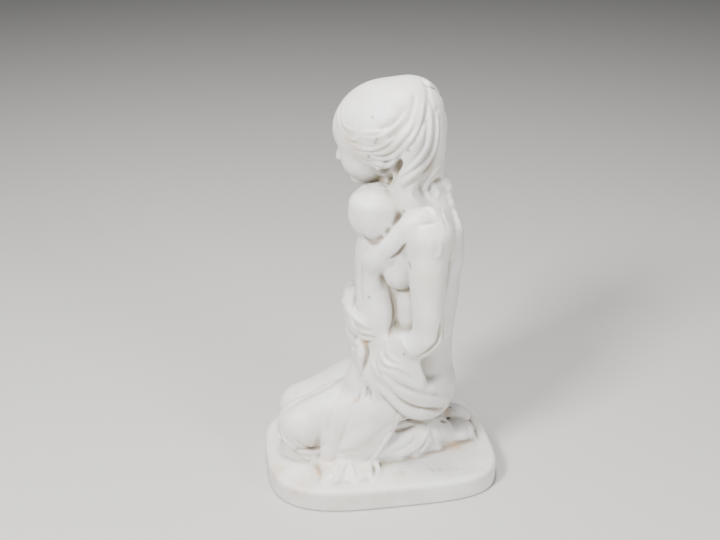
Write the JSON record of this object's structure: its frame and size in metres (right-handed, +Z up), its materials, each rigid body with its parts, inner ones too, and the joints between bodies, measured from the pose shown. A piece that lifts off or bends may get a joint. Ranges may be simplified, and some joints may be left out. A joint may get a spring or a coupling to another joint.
{
  "type": "kneeling mother and child statuette",
  "caption": "Cast-marble statuette of a kneeling, draped mother holding a child upright against her, in one piece with a low round-cornered base.",
  "frame": {"origin": "centre of the base's plan, on its flat underside", "axes": "+Z up; the mother faces -Y with her knees at the -Y end of the base, and her left side, the one in the picture, is +X"},
  "size_m": [0.083, 0.114, 0.2],
  "materials": {
    "cast_marble": "polished cast marble, ivory white with a low sheen"
  },
  "bodies": {
    "root": {"mother_and_child": "cast_marble"}
  },
  "joints": []
}
